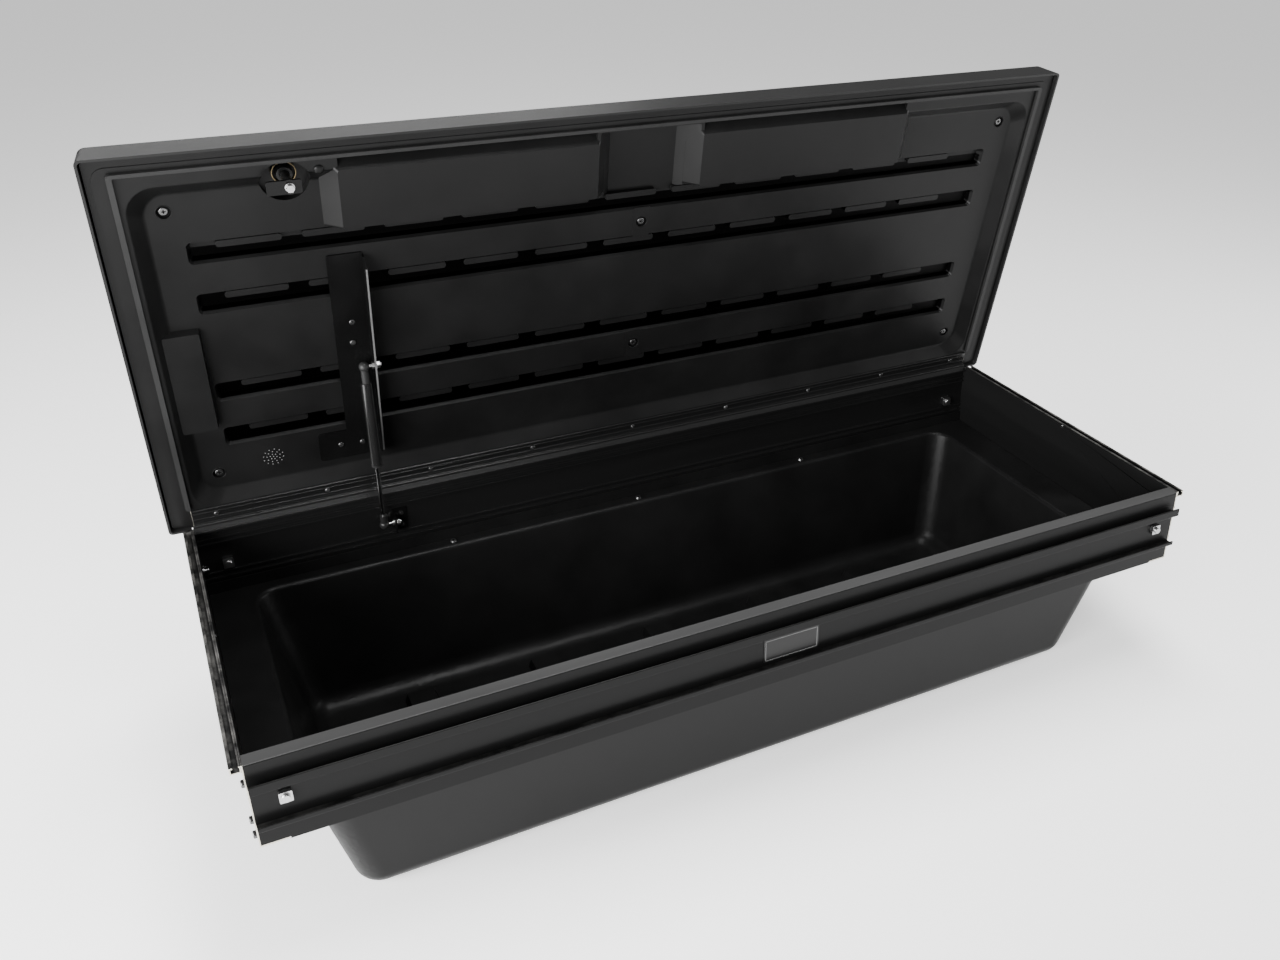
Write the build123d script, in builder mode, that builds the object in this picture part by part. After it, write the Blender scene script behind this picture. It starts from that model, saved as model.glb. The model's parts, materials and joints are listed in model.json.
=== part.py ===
from build123d import *
from math import cos, radians, sin, tan
import os

# Truck tool box: a drafted plastic tub hung in an aluminium rail frame, under a hinged double-skin lid.
#
# Millimetres. The origin is the middle of the tub's flat underside, +Z is up and the lid opens about the
# rear edge, at +Y. The lid is modelled in its own plane, LID, which is tilted to the open position: there x
# runs along the hinge, y is minus the distance from the hinge line and z is the height above its rim.

# Frame of four rails
frame_width = 1500
front_y = -312
rear_y = 304
rail_top = 359
rail_height = 132
wall = 3
web = 2
flange_reach = 36
rail_bottom = rail_top - rail_height
seat = rail_bottom + wall
inner_half = frame_width / 2 - web
slot_width = 13.5
slot_depth = 10
slot_wall = 2
slot_lip = 2.5
strip_depth = 20.7
strip_thickness = 2.5
strip_rebate = 1.5
rib_reach = 13
rib_tip = 3
upper_rib = -40
upper_hook = 14
lower_rib = -98
lower_hook = 7
port_radius = 5
port_bore = 2.5
port_levels = (-33, -91, -115)
port_inset = 7.5
screw_shank = 2.4

# Hinge, made of the extrusions themselves
hinge_y = 294
hinge_z = rail_top
bead_radius = 3.5
socket_bore = 3.56
socket_radius = 6
neck = 3
neck_angle = 231.5
rivet_radius = 2
leaf_rivet_s = 17
leaf_rivet_xs = (-710, -540, -370, -190, 0, 190, 370, 540, 710)
rear_top = -8
socket_from = -24
socket_to = 200

# Tub
tub_half_x = 634
tub_half_y = 222
tub_top_half_x = 684
tub_top_half_y = 267
tub_wall = 4
tub_corner = 40
tub_floor_round = 38
ledge_round = 8
floor_rib_pitch = 221
floor_rib_offset = -16
floor_rib_width = 56
floor_rib_height = 14
floor_rib_reach = 181
upstand = 20
tub_screw_xs = (-350, 0, 350)

# Lid
open_angle = 77
lid_half = 783
lid_front = 629.3
lid_rear = 7
lid_height = 50
lid_wall = 3.5
lid_corner = 7
lid_top_corner = 13
lid_draft = 0.1
crown = 5
roof_round = 8
border = 6
rim_step = 1.2
panel = 25
sheet = 3
panel_half = 719
panel_near = 47
panel_far = 561
panel_slope = 19
groove_rows = (467, 385, 230, 146)
groove_length = 1351
groove_width = 34
groove_depth = 13
groove_corner = 7
pad_pitch = 115
pad_length = 87
pad_width = 10
pad_drop = 4.5
pad_offset = -19
pocket_near = 486
pocket_far = 580
trough_bottom = 596
trough_depth = 17.5
trough_far = 599.3
pocket_half = 470
gap_half = 87
gap_floor_half = 56
cup_x = -537
cup_s = 566
cup_radius = 33.5
cup_floor = 38.4
plateau = (-731, -682, 172, 345, 13)
centre_screw_rows = (426, 188)
liner_screw_places = [(-693.5, 78), (693.5, 78), (-693.5, 534), (693.5, 534), (0, 426), (0, 188)]

# Gas strut, between a ball on the lid bracket and a ball at the rear rail
strut_x = -461
upper_ball = (245, 8)
lower_ball_y = 278
lower_ball_z = rail_top - 62
ball_radius = 5
ball_play = 0.3
spindle_play = 0.06
stud_neck = 2.5
stud_thread = 3
socket_outer = 8
socket_stem = 6
thread_radius = 2.5
lower_plate_x = -444
strut_lean = 95.11
cylinder_radius = 8.5
cylinder_bore = 7.5
cylinder_start = 28
cylinder_end = 179
rod_radius = 3
rod_tip = 195
gland_slot = 14.8
bracket_plate = 2.5
bracket_right = -443
bracket_left = -496
bracket_ends = (62, 438)
bracket_foot = -541
bracket_rivet_places = [(-469, 320), (-471, 283), (-507, 90), (-473, 88)]
lower_rivet_levels = (-52, -74)
lower_rivet_x = -430

# Cam lock near the free edge of the lid
lock_x = -536
lock_s = 572
barrel_radius = 12.9
bezel_radius = 18
bezel_seat = lid_height + 1
spindle_radius = 6.5
cam_reach = 30
cam_width = 20
cam_level = -15.5
cam_plate = 3.5
cam_bolt_radius = 3

# Fasteners that join the frame to its mounting legs
bolt_x = 709
front_bolt_z = rail_top - 61
rear_bolt_z = rail_top - 74
bolt_radius = 5
nut_size = 16
nut_height = 6.5

os.makedirs("parts", exist_ok=True)

LID = Plane(
    origin=(0, hinge_y, hinge_z),
    x_dir=(1, 0, 0),
    z_dir=(0, sin(radians(open_angle)), cos(radians(open_angle))),
)


def lid_level(height):
    """The plane parallel to the lid at a height above its rim."""
    return LID.offset(height)


def lid_section(x):
    """The cross-section plane of the lid at x: its axes are y and z of the lid."""
    return Plane(origin=LID.from_local_coords((x, 0, 0)), x_dir=LID.y_dir, z_dir=LID.x_dir)


def save(builder, name):
    """Labels a finished piece and writes it."""
    builder.part.label = name
    export_step(builder.part, f"parts/{name}.step")


def box_sketch(low_x, low_y, high_x, high_y):
    """A rectangle between two corners, inside a BuildSketch."""
    with Locations(((low_x + high_x) / 2, (low_y + high_y) / 2)):
        Rectangle(high_x - low_x, high_y - low_y)


# ---------------------------------------------------------------- rails

strip_seat = rail_top - strip_thickness
rib_front = front_y - rib_reach
upper_rib_level = rail_top + upper_rib
lower_rib_level = rail_top + lower_rib
port_places = [(front_y + port_inset, rail_top + z) for z in port_levels]
rear_web = hinge_y - 2
rear_port_places = [(rear_web + port_inset - 2, rail_top + z) for z in port_levels]

with BuildPart() as front_rail:
    with BuildSketch(Plane.YZ.offset(-inner_half)):
        box_sketch(front_y, seat, front_y + wall, strip_seat)
        box_sketch(front_y, strip_seat - wall, front_y + strip_depth, strip_seat)
        box_sketch(front_y + strip_depth - wall, rail_top - 10, front_y + strip_depth, strip_seat)
        for level, hook in ((upper_rib_level, upper_hook), (lower_rib_level, lower_hook)):
            box_sketch(rib_front, level, front_y, level + wall)
            box_sketch(rib_front, level, rib_front + rib_tip, level + hook)
        with Locations(*port_places):
            Circle(port_radius)
            Circle(port_bore, mode=Mode.SUBTRACT)
    extrude(amount=2 * inner_half)
    for level, radius in ((upper_rib_level, 1.4), (lower_rib_level, 1.2)):
        tips = front_rail.edges().filter_by(Axis.X).filter_by_position(Axis.Y, rib_front - 0.1, front_y - 9)
        fillet(tips.filter_by_position(Axis.Z, level - 1, level + 20), radius)
    with BuildSketch(Plane.YZ.offset(flange_reach - frame_width / 2 + 1)):
        box_sketch(front_y, rail_bottom, front_y + 42, seat)
    extrude(amount=frame_width - 2 * flange_reach - 2)
    with BuildSketch(Plane.XZ.offset(-front_y - wall)):
        with Locations((-bolt_x, front_bolt_z), (bolt_x, front_bolt_z)):
            Circle(bolt_radius + 0.3)
    extrude(amount=wall, mode=Mode.SUBTRACT)
    with BuildSketch(Plane.XY.offset(rail_bottom)):
        with Locations(*[(x, front_y + 22) for x in tub_screw_xs]):
            Circle(screw_shank + 0.1)
    extrude(amount=wall, mode=Mode.SUBTRACT)
save(front_rail, "front_rail")

with BuildPart() as rear_rail:
    with BuildSketch(Plane.YZ.offset(-inner_half)):
        box_sketch(rear_web, seat, rear_web + wall, rail_top + rear_top)
        box_sketch(rear_web - 7, rail_top + rear_top - wall, rear_y, rail_top + rear_top)
        box_sketch(rear_y - wall, rail_top + rear_top - 12, rear_y, rail_top + rear_top)
        box_sketch(rear_web - 4, rail_top - 25.5, rear_web, rail_top - 23)
        box_sketch(rear_web - 5, rail_top - 34, rear_web, rail_top - 31.5)
        box_sketch(rear_web - 3, rail_top - 89, rear_web, rail_top - 87)
        box_sketch(rear_web - 4, rail_top - 99, rear_web, rail_top - 97)
        with Locations((hinge_y, hinge_z)):
            Circle(bead_radius)
        neck_reach = (-rear_top + 1) / cos(radians(270 - neck_angle))
        with Locations(Location((hinge_y, hinge_z, 0), (0, 0, neck_angle))):
            with Locations((neck_reach / 2, 0)):
                Rectangle(neck_reach, neck)
        with Locations(*rear_port_places):
            Circle(port_radius)
            Circle(port_bore, mode=Mode.SUBTRACT)
    extrude(amount=2 * inner_half)
    with BuildSketch(Plane.YZ.offset(flange_reach - frame_width / 2 + 1)):
        box_sketch(tub_top_half_y + 2, rail_bottom, rear_web + wall, seat)
    extrude(amount=frame_width - 2 * flange_reach - 2)
    with BuildSketch(Plane.XZ.offset(-rear_web - wall)):
        with Locations((-bolt_x, rear_bolt_z), (bolt_x, rear_bolt_z)):
            Circle(bolt_radius + 0.3)
        with Locations(*[(lower_rivet_x, rail_top + z) for z in lower_rivet_levels]):
            Circle(rivet_radius + 0.1)
    extrude(amount=wall, mode=Mode.SUBTRACT)
    with BuildSketch(Plane.XY.offset(rail_bottom)):
        with Locations(*[(x, rear_web - 14) for x in tub_screw_xs]):
            Circle(screw_shank + 0.1)
    extrude(amount=wall, mode=Mode.SUBTRACT)
save(rear_rail, "rear_rail")


def side_strip(side, near, far, low, high):
    """A rectangle on the left (-1) or right (1), given by its distances from the middle of the box."""
    box_sketch(min(side * near, side * far), low, max(side * near, side * far), high)


def rear_notch(side):
    """Clears the rear end of a side rail or its track for the swing of the lid."""
    with BuildSketch(Plane.YZ.offset(side * (outer_face - web - 1))) as notch:
        box_sketch(hinge_y - 8.5, rail_top + rear_top, rear_y + 1, rail_top + 1)
    extrude(notch.sketch, amount=side * (slot_width + web + 2), mode=Mode.SUBTRACT)


outer_face = frame_width / 2
track_outer = outer_face + slot_width
track_sheet = 1.5
slot_floor = rail_top - slot_depth

for side, name in ((-1, "left"), (1, "right")):
    with BuildPart() as side_rail:
        with BuildSketch(Plane.XZ.offset(-rear_y)):
            side_strip(side, inner_half, outer_face, rail_bottom, rail_top)
            side_strip(side, outer_face - flange_reach, outer_face, rail_bottom, seat)
        extrude(amount=rear_y - front_y)
        rear_notch(side)
        with BuildSketch(Plane.YZ.offset(side * inner_half)):
            with Locations(*port_places, *rear_port_places):
                Circle(screw_shank + 0.2)
            with Locations((-19, rail_top - 5)):
                Circle(1.7)
        extrude(amount=side * web, mode=Mode.SUBTRACT)
    save(side_rail, f"{name}_rail")
    with BuildPart() as slot_track:
        with BuildSketch(Plane.XZ.offset(-rear_y)):
            side_strip(side, outer_face, outer_face + track_sheet, slot_floor, rail_top)
            side_strip(side, outer_face, track_outer, slot_floor, slot_floor + slot_wall)
            side_strip(side, track_outer - slot_wall, track_outer, slot_floor, rail_top)
            side_strip(side, outer_face, outer_face + slot_lip, rail_top - slot_wall, rail_top)
            lip_inner = track_outer - slot_wall - slot_lip
            side_strip(side, lip_inner, track_outer, rail_top - slot_wall, rail_top)
        extrude(amount=rear_y - front_y)
        rear_notch(side)
    save(slot_track, f"{name}_slot_track")

with BuildPart() as seal_strip:
    with BuildSketch(Plane.YZ.offset(-inner_half)):
        box_sketch(front_y - 0.5, strip_seat + strip_rebate, front_y + strip_depth - 0.5, rail_top)
        box_sketch(front_y + 2, strip_seat, front_y + strip_depth - 0.5, rail_top)
        fillet(vertices().group_by(Axis.Y)[-1], 0.8)
    extrude(amount=2 * inner_half)
save(seal_strip, "front_seal_strip")

with BuildPart() as corner_screws:
    for side in (-1, 1):
        for y, z in (*port_places, *rear_port_places):
            with BuildSketch(Plane.YZ.offset(side * frame_width / 2)):
                with Locations((y, z)):
                    Circle(5.2)
            extrude(amount=side * 4.5)
            with BuildSketch(Plane.YZ.offset(side * frame_width / 2)):
                with Locations((y, z)):
                    Circle(screw_shank)
            extrude(amount=-side * 22)
    fillet(corner_screws.edges().filter_by(GeomType.CIRCLE).filter_by_position(Axis.X, 754, 755), 1.6)
    fillet(corner_screws.edges().filter_by(GeomType.CIRCLE).filter_by_position(Axis.X, -755, -754), 1.6)
save(corner_screws, "corner_screws")

with BuildPart() as side_rivets:
    for side in (-1, 1):
        with BuildSketch(Plane.YZ.offset(side * inner_half)):
            with Locations((-19, rail_top - 5)):
                Circle(1.6)
        extrude(amount=side * web)
        with BuildSketch(Plane.YZ.offset(side * inner_half)):
            with Locations((-19, rail_top - 5)):
                Circle(3.2)
        extrude(amount=-side * 1.4, taper=25)
save(side_rivets, "side_rivets")

with BuildPart() as badge_plate:
    with BuildSketch(Plane.XZ.offset(-front_y)):
        with Locations((-2, rail_top - 69)):
            RectangleRounded(92, 40, 2.5)
    extrude(amount=1)
save(badge_plate, "badge_plate")


# ---------------------------------------------------------------- mounting fasteners

def mounting_bolts_at(y, z, outward):
    """Two hexagon bolts through a rail web, heads inside and shanks pointing outward along y."""
    with BuildSketch(Plane.XZ.offset(-y)) as shanks:
        with Locations((-bolt_x, z), (bolt_x, z)):
            Circle(bolt_radius)
    extrude(shanks.sketch, amount=-outward * (wall + nut_height + 4))
    with BuildSketch(Plane.XZ.offset(-y)) as heads:
        with Locations((-bolt_x, z), (bolt_x, z)):
            RegularPolygon(8.5, 6, major_radius=False)
    extrude(heads.sketch, amount=outward * 4.5)


def square_nuts_at(y, z, outward):
    """Two square nuts with a round washer face, standing on a rail web at y and pointing outward."""
    with BuildSketch(Plane.XZ.offset(-y)) as washers:
        with Locations((-bolt_x, z), (bolt_x, z)):
            Circle(nut_size / 2)
            Circle(bolt_radius, mode=Mode.SUBTRACT)
    extrude(washers.sketch, amount=-outward)
    with BuildSketch(Plane.XZ.offset(-y - outward)) as nuts:
        with Locations((-bolt_x, z), (bolt_x, z)):
            RectangleRounded(nut_size, nut_size, 1.5)
            Circle(bolt_radius, mode=Mode.SUBTRACT)
    extrude(nuts.sketch, amount=-outward * (nut_height - 1))


with BuildPart() as mounting_bolts:
    mounting_bolts_at(front_y + wall, front_bolt_z, -1)
    mounting_bolts_at(rear_web + wall, rear_bolt_z, -1)
save(mounting_bolts, "mounting_bolts")

with BuildPart() as mounting_nuts:
    square_nuts_at(front_y, front_bolt_z, -1)
    square_nuts_at(rear_web, rear_bolt_z, -1)
save(mounting_nuts, "mounting_nuts")


# ---------------------------------------------------------------- tub

ledge_front = front_y + wall + 2
ledge_rear = rear_web - 1


def drafted_section(inset, height):
    """The outline of the tub walls at a height, inset from their outside."""
    rise = height / seat
    half_x = tub_half_x + (tub_top_half_x - tub_half_x) * rise - inset
    half_y = tub_half_y + (tub_top_half_y - tub_half_y) * rise - inset
    with BuildSketch(Plane.XY.offset(height)) as section:
        RectangleRounded(2 * half_x, 2 * half_y, tub_corner - inset)
    return section.sketch


with BuildPart() as tub_cavity:
    loft([drafted_section(tub_wall, tub_wall), drafted_section(tub_wall, seat + tub_wall + 0.001)])
    fillet(tub_cavity.edges().group_by(Axis.Z)[0], tub_floor_round - tub_wall)

with BuildPart() as tub:
    loft([drafted_section(0, 0), drafted_section(0, seat)])
    fillet(tub.edges().group_by(Axis.Z)[0], tub_floor_round)
    with BuildSketch(Plane.XY.offset(seat)):
        box_sketch(-inner_half + 1, ledge_front, inner_half - 1, ledge_rear)
    extrude(amount=tub_wall)
    with BuildSketch(Plane.XY.offset(seat + tub_wall)):
        box_sketch(-inner_half + 1, ledge_rear - 3.5, inner_half - 1, ledge_rear)
    extrude(amount=upstand)
    add(tub_cavity.part, mode=Mode.SUBTRACT)
    rim = tub.edges().filter_by_position(Axis.Z, seat + tub_wall - 0.1, seat + tub_wall + 0.1)
    rim = rim.filter_by(lambda edge: abs(edge.center().X) < 690 and abs(edge.center().Y) < 275)
    fillet(rim, ledge_round)
    for step in (-2, -1, 0, 1, 2):
        with BuildSketch(Plane.XY.offset(tub_wall - 1)):
            with Locations((floor_rib_offset + step * floor_rib_pitch, 0)):
                RectangleRounded(floor_rib_width, 2 * floor_rib_reach, 9)
        extrude(amount=floor_rib_height + 1, taper=20)
    with BuildSketch(Plane.XY.offset(seat)):
        with Locations(*[(x, y) for x in tub_screw_xs for y in (front_y + 22, rear_web - 14)]):
            Circle(screw_shank + 0.1)
    extrude(amount=tub_wall, mode=Mode.SUBTRACT)
save(tub, "tub")

with BuildPart() as tub_screws:
    for y in (front_y + 22, rear_web - 14):
        with BuildSketch(Plane.XY.offset(seat + tub_wall)):
            with Locations(*[(x, y) for x in tub_screw_xs]):
                Circle(5.5)
        extrude(amount=3, taper=20)
        with BuildSketch(Plane.XY.offset(seat + tub_wall)):
            with Locations(*[(x, y) for x in tub_screw_xs]):
                Circle(screw_shank)
        extrude(amount=-14)
save(tub_screws, "tub_screws")


# ---------------------------------------------------------------- lid

def lid_outline(height, left, right, near, far, corner):
    """A rounded rectangle parallel to the lid; near and far are distances from the hinge line."""
    with BuildSketch(lid_level(height)) as outline:
        with Locations(((left + right) / 2, -(near + far) / 2)):
            RectangleRounded(right - left, far - near, corner)
    return outline.sketch


def lid_block(low, high, left, right, near, far, corner=0.5, mode=Mode.ADD):
    """A straight block of the lid between two heights."""
    extrude(lid_outline(low, left, right, near, far, corner), amount=high - low, mode=mode)


def lid_loft(low, high, mode=Mode.ADD):
    """A drafted block of the lid between two outlines: height, left, right, near, far and corner."""
    loft([lid_outline(*low), lid_outline(*high)], mode=mode)


def lid_cylinder(low, high, x, distance, radius, mode=Mode.ADD):
    """A cylinder standing on the lid between two heights."""
    with BuildSketch(lid_level(low)) as outline:
        with Locations((x, -distance)):
            Circle(radius)
    extrude(outline.sketch, amount=high - low, mode=mode)


knuckle_half = inner_half - 2

def lid_form(inset):
    """The outside of the lid, or its cavity when inset by the thickness of the wall."""
    top = lid_height + crown - inset
    draft = lid_draft * top + inset
    side = lid_height - inset
    lid_loft(
        (0, inset - lid_half, lid_half - inset, inset - lid_rear, lid_front - inset, lid_corner - inset / 2),
        (
            top, draft - lid_half, lid_half - draft, draft - lid_rear, lid_front - draft,
            lid_top_corner - inset / 2,
        ),
    )
    with BuildSketch(lid_section(-lid_half)) as profile:
        with BuildLine():
            Line((20, -1), (20, side))
            ThreePointArc((20, side), (-lid_front / 2, top), (-lid_front - 20, side))
            Line((-lid_front - 20, side), (-lid_front - 20, -1))
            Line((-lid_front - 20, -1), (20, -1))
        make_face()
    extrude(profile.sketch, amount=2 * lid_half, mode=Mode.INTERSECT)


with BuildPart() as lid_cavity:
    lid_form(lid_wall)

with BuildPart() as lid_shell:
    lid_form(0)
    roof = lid_shell.faces().sort_by_distance(LID.from_local_coords((0, -lid_front / 2, 200)))[0]
    fillet(roof.edges(), roof_round)
    add(lid_cavity.part, mode=Mode.SUBTRACT)
    with BuildSketch(lid_section(-inner_half - 1.5)):
        box_sketch(-1, -1, 9, socket_radius + 1)
    extrude(amount=2 * inner_half + 3, mode=Mode.SUBTRACT)
    lid_cylinder(lid_height - 12, lid_height + 20, lock_x, lock_s, barrel_radius - 2, Mode.SUBTRACT)
    lid_cylinder(bezel_seat, lid_height + 20, lock_x, lock_s, bezel_radius + 0.3, mode=Mode.SUBTRACT)
save(lid_shell, "lid_shell")

groove_floor = panel + groove_depth
skin_top = lid_height - lid_wall


def lid_groove(row, grow, mode):
    """A long sloped groove in the recessed panel, grown outwards by the sheet thickness when added."""
    reach = groove_length / 2 + grow
    half = groove_width / 2 + grow
    lid_loft(
        (panel, -reach, reach, row - half, row + half, groove_corner + grow),
        (
            groove_floor + grow, -reach + 6, reach - 6, row - half + 6, row + half - 6,
            groove_corner - 3 + grow,
        ),
        mode=mode,
    )


def lid_trough(left, right, grow, mode=Mode.ADD):
    """The V-shaped trough behind a pocket, grown outwards by the thickness of the sheet when added."""
    with BuildSketch(lid_section(left)) as profile:
        with BuildLine():
            Polyline(
                (-pocket_far - border + 1.5 + grow, border),
                (-trough_bottom, trough_depth + 1.3 * grow),
                (-trough_far - grow, border),
                close=True,
            )
        make_face()
    extrude(profile.sketch, amount=right - left, mode=mode)


def on_pan_outline(edge, level):
    """True for the edges where the sloped sides of the recessed panel meet a level of the lid."""
    middle = LID.to_local_coords(edge @ 0.5)
    return abs(middle.Z - level) < 0.01 and abs(middle.X) < 750 and 20 < -middle.Y < 590


pan_half = panel_half + panel_slope
pan_near = panel_near - panel_slope
pan_far = panel_far + panel_slope

with BuildPart() as lid_liner:
    rim_half = lid_half - lid_wall - 2.8
    lid_block(border, border + sheet, -769, 769, -2, 613, 18)
    rim_far = lid_front - lid_wall - 3
    lid_block(border + rim_step, border + rim_step + sheet, -rim_half, rim_half, -1, rim_far, lid_corner - 3)
    lid_block(border + sheet, border + 2 * sheet, -766, 766, 10, 610, 16, mode=Mode.SUBTRACT)
    lid_loft(
        (border, -pan_half - sheet, pan_half + sheet, pan_near - sheet, pan_far + sheet, 42),
        (panel + sheet, -panel_half - sheet, panel_half + sheet, panel_near - sheet, panel_far + sheet, 36),
    )
    for row in groove_rows:
        lid_groove(row, sheet, Mode.ADD)
    lid_loft(
        (border, -gap_half - sheet, gap_half + sheet, 476, 599, 6),
        (groove_floor + sheet, -gap_floor_half - sheet, gap_floor_half + sheet, 476, 597, 6),
    )
    for left in (1 - pocket_half - sheet, gap_half + 1):
        lid_trough(left, left + pocket_half - gap_half - 2 + sheet, sheet)
    lid_cylinder(border, cup_floor + sheet - 0.4, cup_x, cup_s, cup_radius + sheet)
    for x, distance in liner_screw_places:
        lid_cylinder(panel, panel + 2 * sheet, x, distance, 12)
    for distance in centre_screw_rows:
        lid_block(panel + 1, panel + sheet + 0.6, -1, 1, distance - 24, distance + 24)
    lid_loft(
        (border - 0.001, -pan_half, pan_half, pan_near, pan_far, 39),
        (panel, -panel_half, panel_half, panel_near, panel_far, 33),
        mode=Mode.SUBTRACT,
    )
    for level, radius in ((panel, 8), (border, 4)):
        outline = lid_liner.edges().filter_by(lambda edge: on_pan_outline(edge, level))
        fillet(outline, radius)
    for row in groove_rows:
        lid_groove(row, 0, Mode.SUBTRACT)
    lid_loft(
        (border - 0.001, -gap_half + 3.5, gap_half - 3.5, 473, 596, 2),
        (groove_floor, -gap_floor_half, gap_floor_half, 473, 594, 2),
        mode=Mode.SUBTRACT,
    )
    for left in (2 - pocket_half, gap_half + 2):
        lid_trough(left, left + pocket_half - gap_half - 4, 0, mode=Mode.SUBTRACT)
    lid_cylinder(border - 0.001, cup_floor, cup_x, cup_s, cup_radius, mode=Mode.SUBTRACT)
    for distance in centre_screw_rows:
        lid_block(panel - 0.4, panel + 1, -15, 15, distance - 26, distance + 26, 4)
    for x, distance in liner_screw_places:
        lid_cylinder(panel - 1, panel + sheet, x, distance, 9.5, mode=Mode.SUBTRACT)
        lid_cylinder(panel, panel + 2 * sheet, x, distance, screw_shank + 0.1, mode=Mode.SUBTRACT)
    for row in groove_rows:
        for step in range(-5, 6):
            left = pad_offset + step * pad_pitch - pad_length / 2
            right = left + pad_length
            near = row + groove_width / 2 - pad_width - 4
            lid_block(panel + pad_drop, groove_floor + 1, left, right, near, near + pad_width, 4)
    left, right, near, far, height = plateau
    lid_loft((height, left, right, near, far, 3), (panel + 1, left, right + 3, near - 3, far + 3, 3))
    lid_cylinder(border, skin_top, lock_x, lock_s, barrel_radius - 2, mode=Mode.SUBTRACT)
    for x in leaf_rivet_xs:
        lid_cylinder(border, border + 2 * sheet, x, leaf_rivet_s, rivet_radius + 0.1, mode=Mode.SUBTRACT)
    for side in (-1, 1):
        inner = side * gap_half
        outer = side * pocket_half
        lid_loft(
            (1.5, min(inner, outer), max(inner, outer), pocket_near + 4, pocket_far, 4),
            (
                panel + sheet,
                min(inner - side * 22, outer + side * 25),
                max(inner - side * 22, outer + side * 25),
                pocket_near,
                pocket_far + 26.5,
                4,
            ),
        )
    for side in (-1, 1):
        inner = side * (gap_half + sheet)
        outer = side * (pocket_half - sheet)
        inside = pocket_near + 4 + sheet
        lid_loft(
            (1.5 + sheet, min(inner, outer), max(inner, outer), inside, pocket_far - sheet, 2),
            (
                panel + sheet + 0.001,
                min(inner - side * 18.5, outer + side * 21),
                max(inner - side * 18.5, outer + side * 21),
                pocket_near + sheet,
                pocket_far + 20,
                2,
            ),
            mode=Mode.SUBTRACT,
        )
save(lid_liner, "lid_liner")

with BuildPart() as lid_hinge_leaf:
    with BuildSketch(lid_section(-knuckle_half)):
        Circle(socket_radius)
        box_sketch(-30, sheet, -3.5, border)
        for rib in (-28.5, -22, -11):
            box_sketch(rib - 0.8, sheet - 1.2, rib + 0.8, sheet + 0.5)
        Circle(socket_bore, mode=Mode.SUBTRACT)
        with BuildLine():
            Line((0, 0), (20 * cos(radians(socket_to)), 20 * sin(radians(socket_to))))
            Line((20 * cos(radians(socket_to)), 20 * sin(radians(socket_to))), (0, -30))
            Line((0, -30), (20 * cos(radians(socket_from)), 20 * sin(radians(socket_from))))
            Line((20 * cos(radians(socket_from)), 20 * sin(radians(socket_from))), (0, 0))
        make_face(mode=Mode.SUBTRACT)
    extrude(amount=2 * knuckle_half)
    for x in leaf_rivet_xs:
        lid_cylinder(0, border, x, leaf_rivet_s, rivet_radius + 0.1, mode=Mode.SUBTRACT)
save(lid_hinge_leaf, "lid_hinge_leaf")


def lid_rivets(places, seat_level, grip, head_radius):
    """Round-headed rivets, heads on the box side of a face of the lid at seat_level."""
    for x, distance in places:
        lid_cylinder(seat_level - 1.6, seat_level, x, distance, head_radius)
        lid_cylinder(seat_level, seat_level + grip, x, distance, rivet_radius)


with BuildPart() as hinge_rivets:
    lid_rivets([(x, leaf_rivet_s) for x in leaf_rivet_xs], sheet, 10, 4)
    rims = hinge_rivets.edges().filter_by(GeomType.CIRCLE).filter_by(lambda edge: edge.radius > 3.9)
    fillet(rims.filter_by(lambda edge: LID.to_local_coords(edge.center()).Z < sheet - 1), 1.2)
save(hinge_rivets, "hinge_rivets")

with BuildPart() as liner_screws:
    for x, distance in liner_screw_places:
        lid_cylinder(panel + 1.2, panel + sheet, x, distance, 6)
        lid_cylinder(panel + sheet, panel + 12, x, distance, screw_shank)
    rims = liner_screws.edges().filter_by(GeomType.CIRCLE).filter_by(lambda edge: edge.radius > 5.9)
    fillet(rims.filter_by(lambda edge: LID.to_local_coords(edge.center()).Z < panel + 2), 1.3)
save(liner_screws, "liner_screws")

with BuildPart() as lid_seal:
    lid_block(0.5, border, -752, 752, 33, 605, 6)
    lid_block(0.5, border, -745, 745, 20, 599.8, 2, mode=Mode.SUBTRACT)
save(lid_seal, "lid_seal")


# ---------------------------------------------------------------- strut brackets

near_end, far_end = bracket_ends

with BuildPart() as strut_lid_bracket:
    lid_block(panel - bracket_plate, panel, bracket_left, bracket_right, near_end, far_end, 4)
    lid_block(panel - bracket_plate, panel, bracket_foot, bracket_left + 8, near_end, near_end + 55, 6)
    with BuildSketch(lid_section(bracket_right - bracket_plate)):
        with BuildLine():
            Polyline(
                (-near_end - 4, panel),
                (-near_end - 4, 14),
                (-near_end - 18, 0),
                (-far_end + 18, 0),
                (-far_end + 4, 14),
                (-far_end + 4, panel),
                close=True,
            )
        make_face()
        with Locations((-upper_ball[0], upper_ball[1])):
            Circle(stud_thread + 0.1, mode=Mode.SUBTRACT)
    extrude(amount=bracket_plate)
    for x, distance in bracket_rivet_places:
        lid_cylinder(panel - bracket_plate, panel, x, distance, rivet_radius + 0.1, mode=Mode.SUBTRACT)
save(strut_lid_bracket, "strut_lid_bracket")

with BuildPart() as lid_bracket_rivets:
    lid_rivets(bracket_rivet_places, panel - bracket_plate, bracket_plate, 4.5)
    rims = lid_bracket_rivets.edges().filter_by(GeomType.CIRCLE).filter_by(lambda edge: edge.radius > 4.4)
    fillet(rims.filter_by(lambda edge: LID.to_local_coords(edge.center()).Z < panel - bracket_plate - 1), 1.2)
save(lid_bracket_rivets, "lid_bracket_rivets")

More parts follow.
